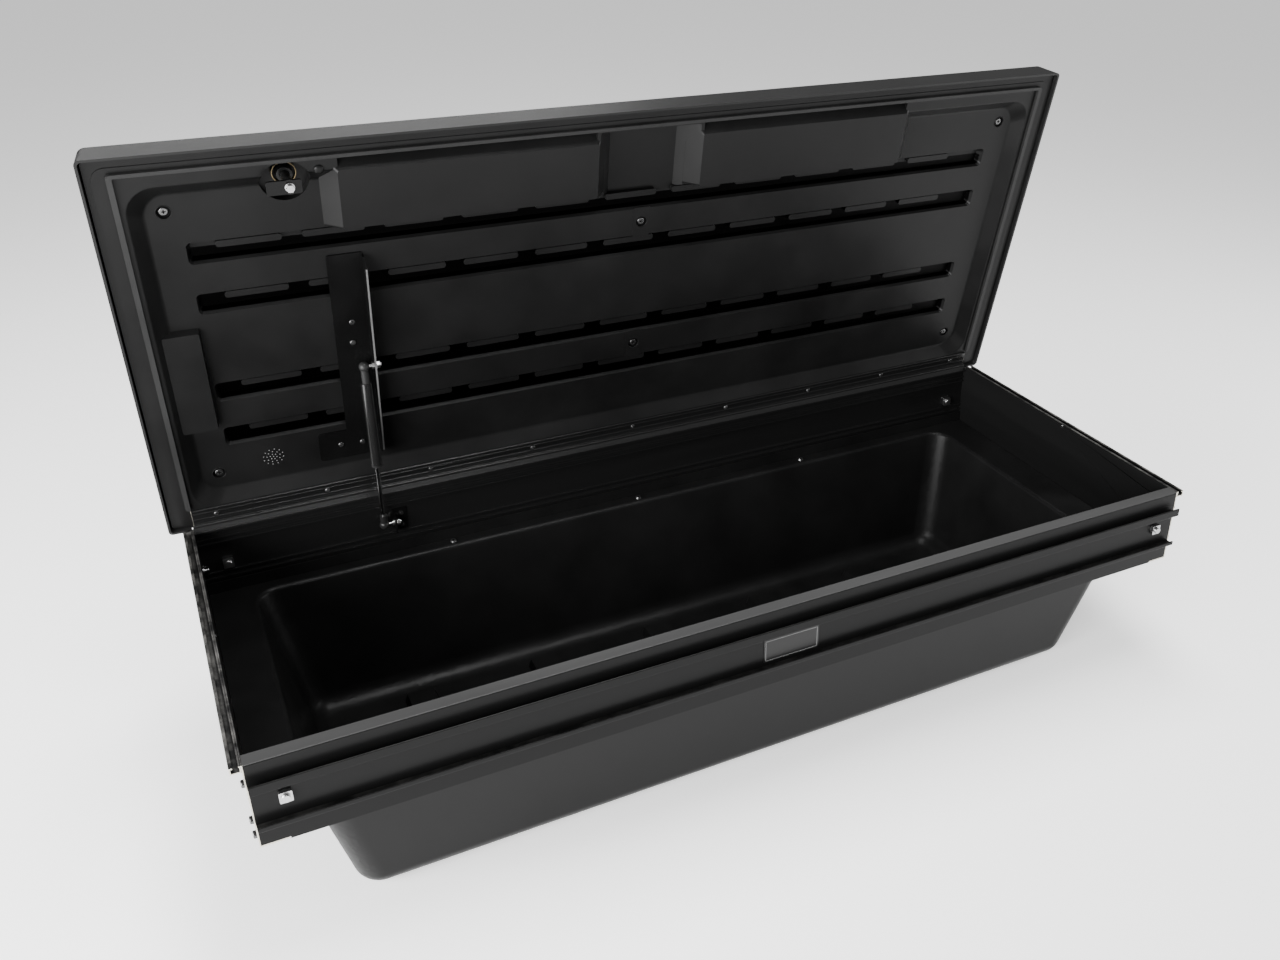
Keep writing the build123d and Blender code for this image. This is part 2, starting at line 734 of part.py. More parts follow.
with BuildPart() as strut_lower_bracket:
    with BuildSketch(Plane.YZ.offset(lower_plate_x)):
        box_sketch(lower_ball_y - 8, lower_ball_z - 20, rear_web, lower_ball_z + 13)
        fillet(vertices().group_by(Axis.Y)[0], 7)
        with Locations((lower_ball_y, lower_ball_z)):
            Circle(stud_thread + 0.1, mode=Mode.SUBTRACT)
    extrude(amount=bracket_plate)
    with BuildSketch(Plane.XZ.offset(-rear_web)):
        box_sketch(lower_plate_x, lower_ball_z - 20, lower_rivet_x + 9, lower_ball_z + 19)
        with Locations(*[(lower_rivet_x, rail_top + z) for z in lower_rivet_levels]):
            Circle(rivet_radius + 0.1, mode=Mode.SUBTRACT)
    extrude(amount=bracket_plate)
save(strut_lower_bracket, "strut_lower_bracket")

with BuildPart() as lower_bracket_rivets:
    for z in lower_rivet_levels:
        with BuildSketch(Plane.XZ.offset(bracket_plate - rear_web)):
            with Locations((lower_rivet_x, rail_top + z)):
                Circle(4)
        extrude(amount=1.6)
        with BuildSketch(Plane.XZ.offset(bracket_plate - rear_web)):
            with Locations((lower_rivet_x, rail_top + z)):
                Circle(rivet_radius)
        extrude(amount=-bracket_plate - wall - 2)
save(lower_bracket_rivets, "lower_bracket_rivets")


def stud_section(x, lower):
    """The plane across a ball stud at x, centred on its axis."""
    if lower:
        return Plane(origin=(x, lower_ball_y, lower_ball_z), x_dir=(0, 1, 0), z_dir=(1, 0, 0))
    section = lid_section(x)
    centre = section.from_local_coords((-upper_ball[0], upper_ball[1], 0))
    return Plane(origin=centre, x_dir=section.x_dir, z_dir=section.z_dir)


def stud_length(from_x, to_x, radius, lower):
    """One cylindrical length of a ball stud."""
    with BuildSketch(stud_section(from_x, lower)) as outline:
        Circle(radius)
    extrude(outline.sketch, amount=to_x - from_x)


def ball_stud(plate_x, lower):
    """A ball on a neck, with a collar against a plate at plate_x and a thread through it."""
    with Locations(stud_section(strut_x, lower).location):
        Sphere(ball_radius)
    stud_length(strut_x, plate_x - 3.5, stud_neck, lower)
    stud_length(plate_x - 3.5, plate_x, 5.5, lower)
    stud_length(plate_x, plate_x + bracket_plate + 8, stud_thread, lower)


def stud_nut(face_x, lower):
    """A hexagon nut with a washer face, on the thread of a ball stud."""
    with BuildSketch(stud_section(face_x, lower)) as washer:
        Circle(6.6)
        Circle(stud_thread + 0.05, mode=Mode.SUBTRACT)
    extrude(washer.sketch, amount=1)
    with BuildSketch(stud_section(face_x + 1, lower)) as nut:
        RegularPolygon(5, 6, major_radius=False)
        Circle(stud_thread + 0.05, mode=Mode.SUBTRACT)
    extrude(nut.sketch, amount=5)


with BuildPart() as upper_ball_stud:
    ball_stud(bracket_right - bracket_plate, False)
save(upper_ball_stud, "upper_ball_stud")

with BuildPart() as upper_stud_nut:
    stud_nut(bracket_right, False)
save(upper_stud_nut, "upper_stud_nut")

with BuildPart() as lower_ball_stud:
    ball_stud(lower_plate_x, True)
save(lower_ball_stud, "lower_ball_stud")

with BuildPart() as lower_stud_nut:
    stud_nut(lower_plate_x + bracket_plate, True)
save(lower_stud_nut, "lower_stud_nut")


# ---------------------------------------------------------------- gas strut

strut_line = Vector(0, cos(radians(strut_lean)), sin(radians(strut_lean)))
UPPER = Plane(
    origin=LID.from_local_coords((strut_x, -upper_ball[0], upper_ball[1])),
    x_dir=(1, 0, 0),
    z_dir=-strut_line,
)
LOWER = Plane(origin=(strut_x, lower_ball_y, lower_ball_z), x_dir=(1, 0, 0), z_dir=strut_line)


def strut_length(base, low, high, radius, hole=0):
    """A round length of the strut between two distances from a ball centre, bored if hole is given."""
    with BuildSketch(base.offset(low)) as outline:
        Circle(radius)
        if hole:
            Circle(hole, mode=Mode.SUBTRACT)
    extrude(outline.sketch, amount=high - low)


def ball_socket(base, length, bore):
    """A socket round a ball, open towards the stud, with a bored stem of a given length."""
    with Locations(base.location):
        Sphere(socket_outer)
    strut_length(base, 0, length, socket_stem)
    side = Plane(origin=base.origin, x_dir=base.z_dir, z_dir=(1, 0, 0))
    with Locations(side.location):
        Sphere(ball_radius + ball_play, mode=Mode.SUBTRACT)
    with BuildSketch(base.offset(length - 10)) as hole:
        Circle(bore)
    extrude(hole.sketch, amount=10, mode=Mode.SUBTRACT)
    with BuildSketch(side) as mouth:
        Circle(stud_neck + 1.4)
    extrude(mouth.sketch, amount=socket_outer + 2, mode=Mode.SUBTRACT)


with BuildPart() as upper_ball_socket:
    ball_socket(UPPER, cylinder_start, thread_radius + 0.05)
save(upper_ball_socket, "upper_ball_socket")

with BuildPart() as strut_cylinder:
    strut_length(UPPER, cylinder_start - 9, cylinder_start + 1, thread_radius)
    strut_length(UPPER, cylinder_start, cylinder_start + 5, cylinder_radius)
    strut_length(UPPER, cylinder_start + 5, cylinder_end, cylinder_radius, cylinder_bore)
save(strut_cylinder, "strut_cylinder")

with BuildPart() as cylinder_gland:
    strut_length(UPPER, cylinder_end - 6, cylinder_end, cylinder_bore)
    strut_length(UPPER, cylinder_end, cylinder_end + 3.5, cylinder_radius)
    with BuildSketch(UPPER.offset(cylinder_end - 6)):
        SlotOverall(gland_slot, 2 * rod_radius + 0.8, rotation=90)
    extrude(amount=9.5, mode=Mode.SUBTRACT)
save(cylinder_gland, "cylinder_gland")

with BuildPart() as lower_ball_socket:
    ball_socket(LOWER, 20, thread_radius + 0.05)
save(lower_ball_socket, "lower_ball_socket")

with BuildPart() as strut_rod:
    strut_length(LOWER, 11, 20, thread_radius)
    strut_length(LOWER, 20, rod_tip, rod_radius)
save(strut_rod, "strut_rod")


# ---------------------------------------------------------------- lock

def lock_cylinder(low, high, radius, mode=Mode.ADD):
    """A cylinder on the axis of the lock between two heights of the lid."""
    lid_cylinder(low, high, lock_x, lock_s, radius, mode=mode)


with BuildPart() as latch_housing:
    lock_cylinder(22, bezel_seat, barrel_radius - 2.1)
    lock_cylinder(bezel_seat, bezel_seat + 3.5, bezel_radius)
    lock_cylinder(22, bezel_seat + 4, spindle_radius + spindle_play, mode=Mode.SUBTRACT)
save(latch_housing, "latch_housing")

with BuildPart() as latch_ring_nut:
    lock_cylinder(28, cup_floor, 16.5)
    lock_cylinder(28, 33, barrel_radius + 2, mode=Mode.SUBTRACT)
    lock_cylinder(28, cup_floor, barrel_radius - 2, mode=Mode.SUBTRACT)
save(latch_ring_nut, "latch_ring_nut")

with BuildPart() as latch_spindle:
    lock_cylinder(cam_level + cam_plate, bezel_seat + 4, spindle_radius)
    lock_cylinder(cam_level + cam_plate, 4, cam_bolt_radius + 0.1, mode=Mode.SUBTRACT)
save(latch_spindle, "latch_spindle")

with BuildPart() as latch_knob:
    lock_cylinder(bezel_seat + 4, bezel_seat + 7.5, 16)
    lid_block(bezel_seat + 7.5, bezel_seat + 20, lock_x - 5, lock_x + 5, lock_s - 15, lock_s + 15, 4.9)
save(latch_knob, "latch_knob")

with BuildPart() as latch_cam:
    with BuildSketch(lid_level(cam_level)):
        with Locations((lock_x, -lock_s)):
            Circle(cam_width / 2 + 1)
        with Locations((lock_x - (cam_reach - 16) / 2, -lock_s)):
            RectangleRounded(cam_reach + 16, cam_width, 3)
        with Locations((lock_x, -lock_s)):
            Circle(cam_bolt_radius + 0.1, mode=Mode.SUBTRACT)
    extrude(amount=cam_plate)
save(latch_cam, "latch_cam")

with BuildPart() as cam_bolt:
    lock_cylinder(cam_level - 1, cam_level, 6.5)
    with BuildSketch(lid_level(cam_level - 6)):
        with Locations((lock_x, -lock_s)):
            RegularPolygon(5, 6, major_radius=False)
    extrude(amount=5)
    lock_cylinder(cam_level, 3, cam_bolt_radius)
save(cam_bolt, "cam_bolt")
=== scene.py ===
import json
import math

import bpy
from mathutils import Matrix, Vector


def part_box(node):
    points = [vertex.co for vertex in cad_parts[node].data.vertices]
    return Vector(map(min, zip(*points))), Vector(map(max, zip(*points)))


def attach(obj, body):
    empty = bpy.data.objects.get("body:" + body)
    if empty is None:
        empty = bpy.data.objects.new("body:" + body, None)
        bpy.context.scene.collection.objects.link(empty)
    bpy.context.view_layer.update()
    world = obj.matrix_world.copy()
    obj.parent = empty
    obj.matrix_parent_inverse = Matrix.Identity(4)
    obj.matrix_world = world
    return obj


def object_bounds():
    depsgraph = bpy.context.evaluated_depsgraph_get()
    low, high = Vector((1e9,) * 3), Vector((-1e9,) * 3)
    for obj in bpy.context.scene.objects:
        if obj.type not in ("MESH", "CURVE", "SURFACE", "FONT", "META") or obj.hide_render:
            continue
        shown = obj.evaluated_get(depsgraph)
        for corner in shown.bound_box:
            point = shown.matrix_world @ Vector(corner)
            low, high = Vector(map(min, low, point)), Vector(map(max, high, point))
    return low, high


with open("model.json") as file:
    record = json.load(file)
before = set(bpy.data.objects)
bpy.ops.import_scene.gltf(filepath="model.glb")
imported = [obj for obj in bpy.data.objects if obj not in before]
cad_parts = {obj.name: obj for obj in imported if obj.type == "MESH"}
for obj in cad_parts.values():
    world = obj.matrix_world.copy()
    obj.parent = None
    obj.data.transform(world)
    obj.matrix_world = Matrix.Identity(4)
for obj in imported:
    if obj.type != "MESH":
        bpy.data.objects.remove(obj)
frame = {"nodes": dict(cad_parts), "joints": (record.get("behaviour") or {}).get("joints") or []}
cad_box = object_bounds()
nodes = frame["nodes"]
MM = 0.001

# ---------------------------------------------------------------- places taken from the frame

joints = {joint["name"]: joint for joint in frame["joints"]}
HINGE = Vector(joints["lid_hinge"]["pos_m"])
OUTWARD = Vector(joints["lock_turn"]["axis"])
RISE = Vector((0, -OUTWARD.z, OUTWARD.y))
LOCK = Vector(joints["lock_turn"]["pos_m"])
UPPER_BALL = Vector(joints["strut_tube_pivot"]["pos_m"])
LOWER_BALL = Vector(joints["strut_rod_pivot"]["pos_m"])
RIGHT = Vector((1, 0, 0))


def on_lid(x, rise, height):
    """The place on the lid at x, at a distance from the hinge line and a height above the rim, in mm."""
    return HINGE + (RIGHT * x + RISE * rise + OUTWARD * height) * MM


# ---------------------------------------------------------------- material helpers

def new_material(name):
    """An empty node material: returns it and its Principled shader."""
    material = bpy.data.materials.new(name)
    material.use_nodes = True
    shader = material.node_tree.nodes["Principled BSDF"]
    return material, shader


class Graph:
    """Adds and joins shader nodes with short calls."""

    def __init__(self, material):
        self.tree = material.node_tree

    def add(self, kind, inputs=None, **settings):
        node = self.tree.nodes.new(kind)
        for key, value in settings.items():
            setattr(node, key, value)
        for key, value in (inputs or {}).items():
            self.feed(node.inputs[key], value)
        return node

    def feed(self, socket, value):
        if isinstance(value, bpy.types.NodeSocket):
            self.tree.links.new(value, socket)
        else:
            socket.default_value = value

    def noise(self, vector, scale, detail, roughness):
        return self.add(
            "ShaderNodeTexNoise",
            {"Vector": vector, "Scale": scale, "Detail": detail, "Roughness": roughness},
        ).outputs["Fac"]

    def math(self, operation, a, b=0.0, clamp=False):
        node = self.add("ShaderNodeMath", {0: a, 1: b}, operation=operation, use_clamp=clamp)
        return node.outputs[0]

    def vector(self, operation, a, b=(0, 0, 0)):
        return self.add("ShaderNodeVectorMath", {0: a, 1: b}, operation=operation)

    def ramp(self, value, low, high, out_low=0.0, out_high=1.0):
        node = self.add(
            "ShaderNodeMapRange",
            {"Value": value, "From Min": low, "From Max": high, "To Min": out_low, "To Max": out_high},
        )
        return node.outputs["Result"]

    def mix(self, factor, a, b):
        node = self.add("ShaderNodeMix", data_type="RGBA")
        self.feed(node.inputs[0], factor)
        self.feed(node.inputs[6], a)
        self.feed(node.inputs[7], b)
        return node.outputs[2]

    def stretched(self, vector, scale):
        return self.add("ShaderNodeMapping", {"Vector": vector, "Scale": scale}).outputs["Vector"]


def grey(level, tint=(1, 1, 1)):
    return (level * tint[0], level * tint[1], level * tint[2], 1)


CREAM = (1, 0.96, 0.84)
DUST_TINT = (1, 0.97, 0.92)
DUST_LEVEL = 0.35
BARE_LEVELS = (0.45, 0.65)
BARE_ROUGH = 0.32
EDGE_HIGHLIGHT_LEVEL = 0.09
PAINTED_BOWL_SHADE_LEVEL = 0.004
# Colour of the painted shade in the lid's grooves, and the depth over which it blends in.
PAINTED_GROOVE_SHADE_LEVEL = 0.002
PAINTED_GROOVE_SHADE_BLEND = 1.2 * MM
COAT_ROUGH = 0.12
MOTTLE = 9.0
PATCH_LOW, PATCH_HIGH = 0.3, 0.7
SAW_STRETCH = (400, 400, 30)


def surface(
    name, level, rough, grain, grain_height, metallic=0.0, tint=(1, 1, 1), spread=0.25,
    stretch=(1, 1, 1), rough_spread=0.08, dust=0.0, coat=0.0, bare=None, specular=0.18,
    painted_shade_within=0.0, painted_edge_highlight=None, painted_groove_shade=None,
):
    """A finish with mottled colour, uneven gloss and a fine raised grain, grain_height in mm.

    bare, if given, is (axis, limit): further out than that the metal under the coat shows.
    painted_shade_within, if given, is the radius in mm about the lock's axis inside which the finish is
    painted black, a painted shade for the lock's bowl.
    painted_edge_highlight, if given, is (direction, limit): further than that along it the finish is
    painted light grey, a painted highlight along an edge.
    painted_groove_shade, if given, is (depth axis, limit, rise axis, limit): deeper than the first limit
    and lower than the second the finish is painted black, dull and metallic, a painted shade for the depths
    of grooves.
    """
    material, shader = new_material(name)
    g = Graph(material)
    place = g.add("ShaderNodeTexCoord").outputs["Object"]
    drawn = g.stretched(place, stretch)
    patches = g.noise(drawn, MOTTLE, 4, 0.6)
    fine = g.noise(drawn, grain, 2, 0.5)
    darker, lighter = grey(level * (1 - spread), tint), grey(level * (1 + spread), tint)
    color = g.mix(g.ramp(patches, PATCH_LOW, PATCH_HIGH), darker, lighter)
    gloss = g.ramp(patches, PATCH_LOW, PATCH_HIGH, rough - rough_spread, rough + rough_spread)
    metal = metallic
    if dust:
        normal = g.add("ShaderNodeNewGeometry").outputs["Normal"]
        upward = g.add("ShaderNodeSeparateXYZ", {"Vector": normal}).outputs["Z"]
        specks = g.ramp(g.noise(place, 30, 5, 0.7), 0.4, 0.75)
        settled = g.math("MULTIPLY", g.ramp(upward, 0.6, 1.0), specks)
        color = g.mix(g.math("MULTIPLY", settled, dust, True), color, grey(DUST_LEVEL, DUST_TINT))
    if bare:
        axis, limit = bare
        along = g.add("ShaderNodeSeparateXYZ", {"Vector": place}).outputs[axis]
        if limit > 0:
            mask = g.math("GREATER_THAN", g.math("ABSOLUTE", along), limit)
        else:
            mask = g.math("LESS_THAN", along, limit)
        saw = g.noise(g.stretched(place, SAW_STRETCH), 6, 2, 0.5)
        dull, bright = (grey(bare_level, CREAM) for bare_level in BARE_LEVELS)
        color = g.mix(mask, color, g.mix(saw, dull, bright))
        metal = mask
        gloss = g.math("ADD", g.math("MULTIPLY", mask, BARE_ROUGH - rough), gloss)
    # Painted shade: near the lock's axis the colour is painted black, standing in for the shade inside the
    # lock's bowl.
    if painted_shade_within:
        off_centre = g.vector("SUBTRACT", place, LOCK).outputs[0]
        off_axis = g.vector("CROSS_PRODUCT", off_centre, OUTWARD).outputs[0]
        radius = g.vector("LENGTH", off_axis).outputs["Value"]
        color = g.mix(g.math("LESS_THAN", radius, painted_shade_within * MM), color, grey(PAINTED_BOWL_SHADE_LEVEL))
    # Painted highlight: a narrow band at the far edge is painted light grey, where light would catch the
    # edge.
    if painted_edge_highlight:
        direction, limit = painted_edge_highlight
        reach = g.vector("DOT_PRODUCT", place, direction).outputs["Value"]
        color = g.mix(g.math("GREATER_THAN", reach, limit), color, grey(EDGE_HIGHLIGHT_LEVEL))
    # Painted shade: deep in the grooves the colour is painted near black and made metallic, darkening the
    # groove floors as shadow would.
    if painted_groove_shade:
        depth_axis, depth_limit, rise_axis, rise_limit = painted_groove_shade
        depth = g.vector("DOT_PRODUCT", place, depth_axis).outputs["Value"]
        rise = g.vector("DOT_PRODUCT", place, rise_axis).outputs["Value"]
        shade = g.ramp(depth, depth_limit, depth_limit + PAINTED_GROOVE_SHADE_BLEND)
        metal = g.math("MULTIPLY", shade, g.math("LESS_THAN", rise, rise_limit))
        color = g.mix(metal, color, grey(PAINTED_GROOVE_SHADE_LEVEL))
    bump = g.add(
        "ShaderNodeBump",
        {"Strength": 1.0, "Distance": grain_height * MM, "Height": fine},
    )
    g.feed(shader.inputs["Base Color"], color)
    g.feed(shader.inputs["Roughness"], gloss)
    g.feed(shader.inputs["Metallic"], metal)
    g.feed(shader.inputs["Normal"], bump.outputs["Normal"])
    shader.inputs["Specular IOR Level"].default_value = specular
    if coat:
        shader.inputs["Coat Weight"].default_value = coat
        shader.inputs["Coat Roughness"].default_value = COAT_ROUGH
    return material


def coat_nodes(material, *names):
    """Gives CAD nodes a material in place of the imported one."""
    for name in names:
        for slot in nodes[name].material_slots:
            slot.material = material


WELD_REACH = 0.01 * MM
SHARP_ANGLE = math.radians(30)
LARGEST_FACE_ONLY = 100


def soften(name, width, segments=2):
    """Rounds the edges of a CAD node by a width in mm and keeps its flat faces flat."""
    node = nodes[name]
    weld = node.modifiers.new("weld", "WELD")
    weld.merge_threshold = WELD_REACH
    bevel = node.modifiers.new("edges", "BEVEL")
    bevel.width = width * MM
    bevel.segments = segments
    bevel.limit_method = "ANGLE"
    bevel.angle_limit = SHARP_ANGLE
    bevel.harden_normals = False
    for polygon in node.data.polygons:
        polygon.use_smooth = True
    smooth = node.modifiers.new("normals", "WEIGHTED_NORMAL")
    smooth.keep_sharp = True
    smooth.weight = LARGEST_FACE_ONLY


# ---------------------------------------------------------------- materials

tub_plastic = surface(
    "tub_plastic", 0.005, 0.38, grain=1500, grain_height=0.05, rough_spread=0.05, specular=0.1,
)
lid_plastic = surface(
    "lid_plastic", 0.008, 0.38, spread=0.12, grain=1500, grain_height=0.04, rough_spread=0.02,
)
GROOVE_SHADE = 29.9
GROOVE_TOP = 470
DRAWN_ACROSS = (0.05, 1, 1)
DRAWN_BACK = (1, 0.05, 1)
END_SKIN = 0.3 * MM
EDGE_HIGHLIGHT_DEPTH = 0.6 * MM
RING_BORE = 14.6
BRASS = (1, 0.78, 0.45)
# The liner's groove floors get painted shade, from GROOVE_SHADE mm deep and below GROOVE_TOP mm of rise.
liner_plastic = surface(
    "liner_plastic", 0.005, 0.38, grain=1700, grain_height=0.05, rough_spread=0.05, specular=0.12,
    painted_groove_shade=(
        OUTWARD, on_lid(0, 0, GROOVE_SHADE).dot(OUTWARD), RISE, on_lid(0, GROOVE_TOP, 0).dot(RISE),
    ),
)
rail_coat = surface(
    "rail_coat", 0.004, 0.34, stretch=DRAWN_ACROSS, grain=2500, grain_height=0.01, dust=0.04, specular=0.1,
)
rear_coat = surface(
    "rear_coat", 0.006, 0.26, stretch=DRAWN_ACROSS, grain=2500, grain_height=0.01, specular=0.5,
)
leaf_coat = surface(
    "leaf_coat", 0.006, 0.26, stretch=DRAWN_ACROSS, grain=2500, grain_height=0.01, specular=0.5,
    bare=("X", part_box("lid_hinge_leaf")[1].x - END_SKIN),
)
side_rail_coat = surface(
    "side_rail_coat", 0.005, 0.34, stretch=DRAWN_BACK, grain=2500, grain_height=0.01, dust=0.3,
    bare=("Y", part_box("left_rail")[0].y + END_SKIN),
)
strip_grey = surface("strip_grey", 0.035, 0.5, stretch=(0.1, 1, 1), grain=1200, grain_height=0.02)
fastener_black = surface("fastener_black", 0.10, 0.26, metallic=0.9, grain=3000, grain_height=0.01)
bright_steel = surface(
    "bright_steel", 0.42, 0.3, metallic=1.0, grain=2500, grain_height=0.01, spread=0.12,
)
badge_black = surface("badge_black", 0.006, 0.34, grain=3000, grain_height=0.005, specular=0.25)
bracket_black = surface("bracket_black", 0.003, 0.2, grain=2600, grain_height=0.008, specular=0.12)
bracket_reach = max(point.co.dot(-OUTWARD) for point in nodes["strut_lid_bracket"].data.vertices)
# The lid bracket gets a painted highlight on the edge that reaches furthest into the lid.
lid_bracket_black = surface(
    "lid_bracket_black", 0.003, 0.2, grain=2600, grain_height=0.008, specular=0.12,
    painted_edge_highlight=(-OUTWARD, bracket_reach - EDGE_HIGHLIGHT_DEPTH),
)
seal_rubber = surface("seal_rubber", 0.012, 0.55, grain=2500, grain_height=0.03)
lock_black = surface("lock_black", 0.010, 0.3, metallic=0.3, grain=3000, grain_height=0.01)
# The brass ring nut is painted black within RING_BORE mm of the lock's axis, a painted shade for the bowl.
lock_brass = surface(
    "lock_brass", 0.14, 0.32, metallic=1.0, tint=BRASS, grain=2500, grain_height=0.01, spread=0.2,
    painted_shade_within=RING_BORE,
)
socket_black = surface("socket_black", 0.012, 0.4, grain=3000, grain_height=0.02)
strut_black = surface(
    "strut_black", 0.008, 0.16, grain=3500, grain_height=0.004, coat=0.6, rough_spread=0.03, specular=0.5,
)
strut_chrome = surface(
    "strut_chrome", 0.75, 0.08, metallic=1.0, grain=4000, grain_height=0.002, spread=0.06,
    rough_spread=0.03,
)
# Near-black used as painted shade: dark pieces that stand in for the shadow inside screw drives, rivet
# holes and screw recesses.
painted_recess_shade = surface("painted_recess_shade", 0.002, 0.7, grain=2500, grain_height=0.02, specular=0.05)
line_grey = surface("line_grey", 0.16, 0.4, grain=2500, grain_height=0.01)

coat_nodes(tub_plastic, "tub")
coat_nodes(lid_plastic, "lid_shell")
coat_nodes(liner_plastic, "lid_liner")
coat_nodes(rail_coat, "front_rail")
coat_nodes(rear_coat, "rear_rail")
coat_nodes(leaf_coat, "lid_hinge_leaf")
coat_nodes(side_rail_coat, "left_rail", "right_rail", "left_slot_track", "right_slot_track")
coat_nodes(strip_grey, "front_seal_strip")
coat_nodes(
    fastener_black, "corner_screws", "side_rivets", "tub_screws", "hinge_rivets", "liner_screws",
    "lid_bracket_rivets", "lower_bracket_rivets",
)
coat_nodes(
    bright_steel, "mounting_bolts", "mounting_nuts", "lower_ball_stud", "lower_stud_nut", "upper_ball_stud",
    "upper_stud_nut", "cam_bolt",
)
coat_nodes(badge_black, "badge_plate")
coat_nodes(bracket_black, "strut_lower_bracket", "latch_cam")
coat_nodes(lid_bracket_black, "strut_lid_bracket")
coat_nodes(seal_rubber, "lid_seal")
coat_nodes(lock_black, "latch_housing", "latch_spindle", "latch_knob")
coat_nodes(lock_brass, "latch_ring_nut")
coat_nodes(socket_black, "upper_ball_socket", "lower_ball_socket", "cylinder_gland")
coat_nodes(strut_black, "strut_cylinder")
coat_nodes(strut_chrome, "strut_rod")

LINER_EDGE, SHELL_EDGE, RAIL_EDGE, FITTING_EDGE = 1.6, 1.2, 0.45, 0.5

soften("lid_liner", LINER_EDGE, 3)
for name in ("lid_shell", "tub"):
    soften(name, SHELL_EDGE)
for name in (
    "front_rail", "rear_rail", "left_rail", "right_rail", "left_slot_track", "right_slot_track",
    "lid_hinge_leaf", "front_seal_strip",
):
    soften(name, RAIL_EDGE)
for name in (
    "mounting_nuts", "strut_lid_bracket", "strut_lower_bracket", "latch_cam", "latch_knob", "latch_housing",
    "badge_plate", "lid_seal", "cam_bolt", "upper_stud_nut", "lower_stud_nut", "latch_ring_nut",
):
    soften(name, FITTING_EDGE)

# ---------------------------------------------------------------- detail pieces

INTO_LID = -OUTWARD
UP = Vector((0, 0, 1))
FRONTWARD = Vector((0, -1, 0))
FACE_REACH = 0.05 * MM


def loose_parts(name):
    """The points of each loose part of a CAD node."""
    mesh = nodes[name].data
    keys = [tuple(round(value, 6) for value in vertex.co) for vertex in mesh.vertices]
    group = {key: key for key in keys}

    def root(key):
        while group[key] != key:
            group[key] = group[group[key]]
            key = group[key]
        return key

    for edge in mesh.edges:
        first, second = (root(keys[index]) for index in edge.vertices)
        group[first] = second
    parts = {}
    for key in sorted(group):
        parts.setdefault(root(key), []).append(Vector(key))
    return [parts[key] for key in sorted(parts)]


def end_centre(points, direction):
    """The middle of the face of a part that lies furthest along a direction."""
    furthest = max(point.dot(direction) for point in points)
    face = [point for point in points if point.dot(direction) > furthest - FACE_REACH]
    low = Vector([min(point[axis] for point in face) for axis in range(3)])
    high = Vector([max(point[axis] for point in face) for axis in range(3)])
    return (low + high) / 2


class Shapes:
    """Gathers the faces of one detail piece."""

    def __init__(self):
        self.points = []
        self.faces = []

    def turn(self, centre, axis, profile, sides=24, closed=False, lobes=0, depth=0.0):
        """A turned shape from (radius, height) rings in mm; lobes and depth make a star of it."""
        across = axis.orthogonal().normalized()
        along = axis.cross(across)
        start = len(self.points)
        for radius, height in profile:
            for step in range(sides):
                angle = 2 * math.pi * step / sides
                reach = radius * (1 - depth * (0.5 + 0.5 * math.cos(lobes * angle)))
                offset = across * math.cos(angle) + along * math.sin(angle)
                self.points.append(centre + axis * height * MM + offset * reach * MM)
        rings = len(profile)
        for ring in range(rings if closed else rings - 1):
            here = start + ring * sides
            above = start + (ring + 1) % rings * sides
            for step in range(sides):
                after = (step + 1) % sides
                self.faces.append((here + step, here + after, above + after, above + step))
        if not closed:
            last = start + (rings - 1) * sides
            self.faces.append(tuple(range(start + sides - 1, start - 1, -1)))
            self.faces.append(tuple(range(last, last + sides)))

    def block(self, centre, half_x, half_y, half_z):
        """A box square to the frame, with half sizes in mm."""
        start = len(self.points)
        for x in (-half_x, half_x):
            for y in (-half_y, half_y):
                for z in (-half_z, half_z):
                    self.points.append(centre + Vector((x, y, z)) * MM)
        for corners in ((0, 1, 3, 2), (4, 6, 7, 5), (0, 4, 5, 1), (2, 3, 7, 6), (0, 2, 6, 4), (1, 5, 7, 3)):
            self.faces.append(tuple(start + corner for corner in corners))

    def make(self, name, material, body, smooth=False):
        """Turns the gathered faces into a piece that rides on a body."""
        mesh = bpy.data.meshes.new(name)
        mesh.from_pydata([tuple(point) for point in self.points], [], self.faces)
        mesh.materials.append(material)
        for polygon in mesh.polygons:
            polygon.use_smooth = smooth
        piece = bpy.data.objects.new(name, mesh)
        bpy.context.scene.collection.objects.link(piece)
        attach(piece, body)


DRIVE_LOBES = 4
DRIVE_DEPTH = 0.55


def drive_recess_shade(name, node, direction, body, radius):
    """A dark star-shaped sheet on each screw head of a node, a painted shade for its drive recess;
    direction gives where a head faces.
    """
    shapes = Shapes()
    for points in loose_parts(node):
        facing = direction(points)
        centre = end_centre(points, facing)
        walls = [(radius, -0.3), (radius, 0.06)]
        shapes.turn(centre, facing, walls, 48, lobes=DRIVE_LOBES, depth=DRIVE_DEPTH)
    shapes.make(name, painted_recess_shade, body)


def rivet_eyes(name, node, direction, body, radius):
    """The ring in the head of each blind rivet of a node, and a dark disc in its middle that is a painted
    shade for the mandrel hole.
    """
    rims = Shapes()
    hole_shades = Shapes()
    for points in loose_parts(node):
        centre = end_centre(points, direction)
        rim = [(radius, -0.1), (radius + 0.7, -0.1), (radius + 0.5, 0.22), (radius + 0.1, 0.22)]
        rims.turn(centre, direction, rim, 24, closed=True)
        hole_shades.turn(centre, direction, [(radius, -0.3), (radius, 0.04)], 24)
    rims.make(name + "_rims", fastener_black, body)
    hole_shades.make(name + "_hole_shade", painted_recess_shade, body)


def sideways(points):
    """Outwards along X from the middle of the box."""
    return Vector((math.copysign(1, points[0].x), 0, 0))


